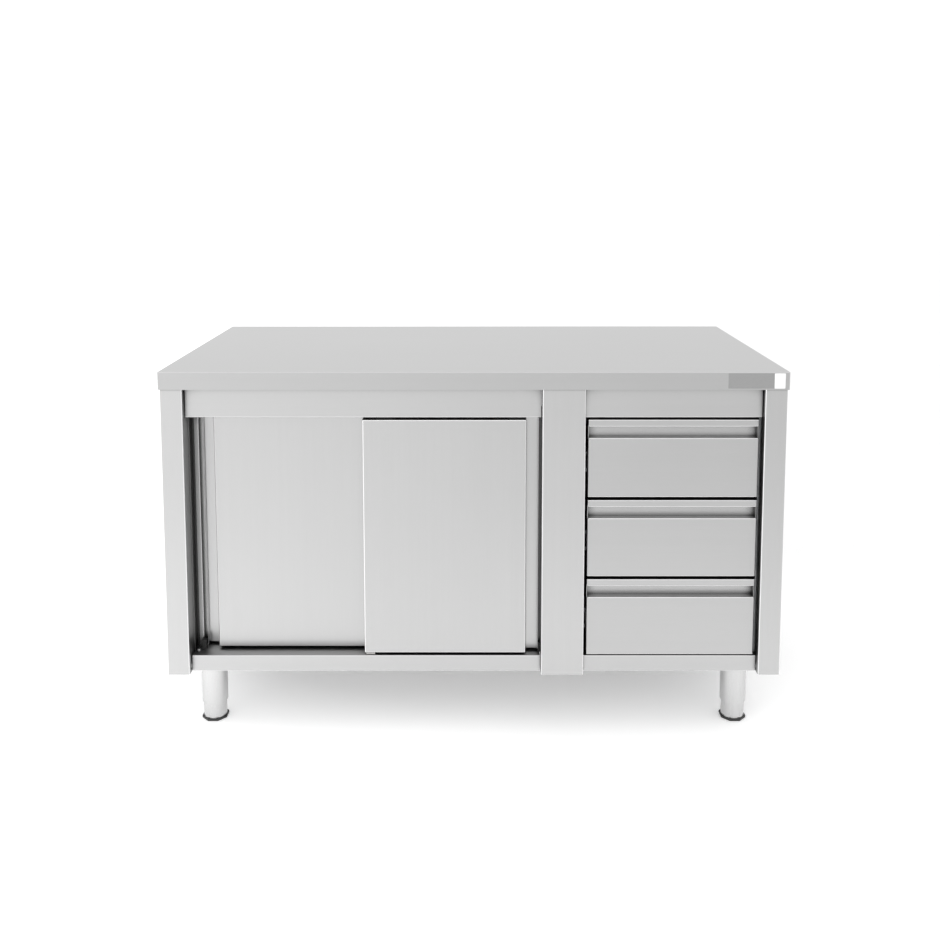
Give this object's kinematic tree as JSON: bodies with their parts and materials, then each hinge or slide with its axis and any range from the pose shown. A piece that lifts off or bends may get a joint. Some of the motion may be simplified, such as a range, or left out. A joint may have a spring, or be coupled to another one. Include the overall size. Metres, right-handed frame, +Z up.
{
  "type": "stainless work table",
  "caption": "Stainless steel catering work table on adjustable feet, with a cupboard closed by two overlapping sliding doors and a bank of telescopic drawers on the right.",
  "frame": {"origin": "on the floor, at the middle of the table's footprint", "axes": "+X towards the drawer end (right seen from the front), +Y towards the back, +Z up"},
  "size_m": [1.4, 0.7, 0.85],
  "materials": {
    "worktop_steel": "satin",
    "panel_steel": "satin",
    "door_steel": "satin",
    "drawer_steel": "satin",
    "leg_steel": "satin",
    "galvanised_steel": "matte",
    "zinc_slide": "satin",
    "fastener_steel": "satin",
    "blackened_steel": "matte",
    "track_aluminium": "satin",
    "nylon": "matte",
    "black_plastic": "matte",
    "black_rubber": "matte",
    "wood_board": "matte"
  },
  "bodies": {
    "carcass": {"worktop": "worktop_steel", "worktop_board": "wood_board", "worktop_stiffeners": "galvanised_steel", "left_side_panel": "panel_steel", "right_side_panel": "panel_steel", "centre_post": "panel_steel", "back_panel": "panel_steel", "cupboard_header": "panel_steel", "drawer_header": "panel_steel", "floor_pan": "panel_steel", "leg_channels": "galvanised_steel", "cupboard_divider": "panel_steel", "drawer_bay_left_wall": "galvanised_steel", "drawer_bay_right_wall": "galvanised_steel", "mid_shelf": "panel_steel", "shelf_brackets": "panel_steel", "left_jamb_post": "panel_steel", "right_jamb_post": "panel_steel", "door_track": "track_aluminium", "door_buffers": "black_rubber", "door_floor_guide": "nylon", "outer_slides_left": "zinc_slide", "outer_slides_right": "zinc_slide", "leg_bolts": "fastener_steel", "carcass_screws": "fastener_steel", "slide_rivets": "fastener_steel", "left_front_leg": "leg_steel", "right_front_leg": "leg_steel", "left_rear_leg": "leg_steel", "right_rear_leg": "leg_steel"},
    "left_door": {"left_door_front": "door_steel", "left_door_back": "door_steel", "left_door_hangers": "blackened_steel"},
    "left_door_roller_1": {"left_door_roller_1": "nylon"},
    "left_door_roller_2": {"left_door_roller_2": "nylon"},
    "right_door": {"right_door_front": "door_steel", "right_door_back": "door_steel", "right_door_hangers": "blackened_steel"},
    "right_door_roller_1": {"right_door_roller_1": "nylon"},
    "right_door_roller_2": {"right_door_roller_2": "nylon"},
    "drawer_1": {"drawer_1_front": "drawer_steel", "drawer_1_box": "drawer_steel", "drawer_1_inner_slides": "zinc_slide"},
    "drawer_1_slide_middles": {"drawer_1_middle_slides": "zinc_slide"},
    "drawer_2": {"drawer_2_front": "drawer_steel", "drawer_2_box": "drawer_steel", "drawer_2_inner_slides": "zinc_slide"},
    "drawer_2_slide_middles": {"drawer_2_middle_slides": "zinc_slide"},
    "drawer_3": {"drawer_3_front": "drawer_steel", "drawer_3_box": "drawer_steel", "drawer_3_inner_slides": "zinc_slide"},
    "drawer_3_slide_middles": {"drawer_3_middle_slides": "zinc_slide"},
    "left_front_foot": {"left_front_foot_sleeve": "leg_steel", "left_front_foot_pad": "black_plastic"},
    "right_front_foot": {"right_front_foot_sleeve": "leg_steel", "right_front_foot_pad": "black_plastic"},
    "left_rear_foot": {"left_rear_foot_sleeve": "leg_steel", "left_rear_foot_pad": "black_plastic"},
    "right_rear_foot": {"right_rear_foot_sleeve": "leg_steel", "right_rear_foot_pad": "black_plastic"}
  },
  "joints": [
    {"name": "left_door_slide", "type": "slide", "parent": "carcass", "child": "left_door", "axis": [1, 0, 0], "range_m": [0, 0.371]},
    {"name": "left_door_roller_1_spin", "type": "hinge", "parent": "left_door", "child": "left_door_roller_1", "pos_m": [-0.571, -0.2815, 0.7833], "axis": [0, 1, 0], "range_deg": [-10, 1945]},
    {"name": "left_door_roller_2_spin", "type": "hinge", "parent": "left_door", "child": "left_door_roller_2", "pos_m": [-0.274, -0.2815, 0.7833], "axis": [0, 1, 0], "range_deg": [-10, 1945]},
    {"name": "right_door_slide", "type": "slide", "parent": "carcass", "child": "right_door", "axis": [1, 0, 0], "range_m": [-0.371, 0]},
    {"name": "right_door_roller_1_spin", "type": "hinge", "parent": "right_door", "child": "right_door_roller_1", "pos_m": [-0.2, -0.3145, 0.7833], "axis": [0, 1, 0], "range_deg": [-1945, 10]},
    {"name": "right_door_roller_2_spin", "type": "hinge", "parent": "right_door", "child": "right_door_roller_2", "pos_m": [0.097, -0.3145, 0.7833], "axis": [0, 1, 0], "range_deg": [-1945, 10]},
    {"name": "drawer_1_slide", "type": "slide", "parent": "carcass", "child": "drawer_1", "axis": [0, -1, 0], "range_m": [0, 0.45]},
    {"name": "drawer_1_middle_slide", "type": "slide", "parent": "carcass", "child": "drawer_1_slide_middles", "axis": [0, -1, 0], "range_m": [0, 0.225]},
    {"name": "drawer_2_slide", "type": "slide", "parent": "carcass", "child": "drawer_2", "axis": [0, -1, 0], "range_m": [0, 0.45]},
    {"name": "drawer_2_middle_slide", "type": "slide", "parent": "carcass", "child": "drawer_2_slide_middles", "axis": [0, -1, 0], "range_m": [0, 0.225]},
    {"name": "drawer_3_slide", "type": "slide", "parent": "carcass", "child": "drawer_3", "axis": [0, -1, 0], "range_m": [0, 0.45]},
    {"name": "drawer_3_middle_slide", "type": "slide", "parent": "carcass", "child": "drawer_3_slide_middles", "axis": [0, -1, 0], "range_m": [0, 0.225]},
    {"name": "left_front_foot_adjust", "type": "slide", "parent": "carcass", "child": "left_front_foot", "axis": [0, 0, 1], "range_m": [0, 0.025]},
    {"name": "right_front_foot_adjust", "type": "slide", "parent": "carcass", "child": "right_front_foot", "axis": [0, 0, 1], "range_m": [0, 0.025]},
    {"name": "left_rear_foot_adjust", "type": "slide", "parent": "carcass", "child": "left_rear_foot", "axis": [0, 0, 1], "range_m": [0, 0.025]},
    {"name": "right_rear_foot_adjust", "type": "slide", "parent": "carcass", "child": "right_rear_foot", "axis": [0, 0, 1], "range_m": [0, 0.025]}
  ],
  "couplings": [
    {"joint": "left_door_roller_1_spin", "follows": "left_door_slide", "rad_per_m": 90.909},
    {"joint": "left_door_roller_2_spin", "follows": "left_door_slide", "rad_per_m": 90.909},
    {"joint": "right_door_roller_1_spin", "follows": "right_door_slide", "rad_per_m": 90.909},
    {"joint": "right_door_roller_2_spin", "follows": "right_door_slide", "rad_per_m": 90.909},
    {"joint": "drawer_1_middle_slide", "follows": "drawer_1_slide", "ratio": 0.5},
    {"joint": "drawer_2_middle_slide", "follows": "drawer_2_slide", "ratio": 0.5},
    {"joint": "drawer_3_middle_slide", "follows": "drawer_3_slide", "ratio": 0.5}
  ]
}
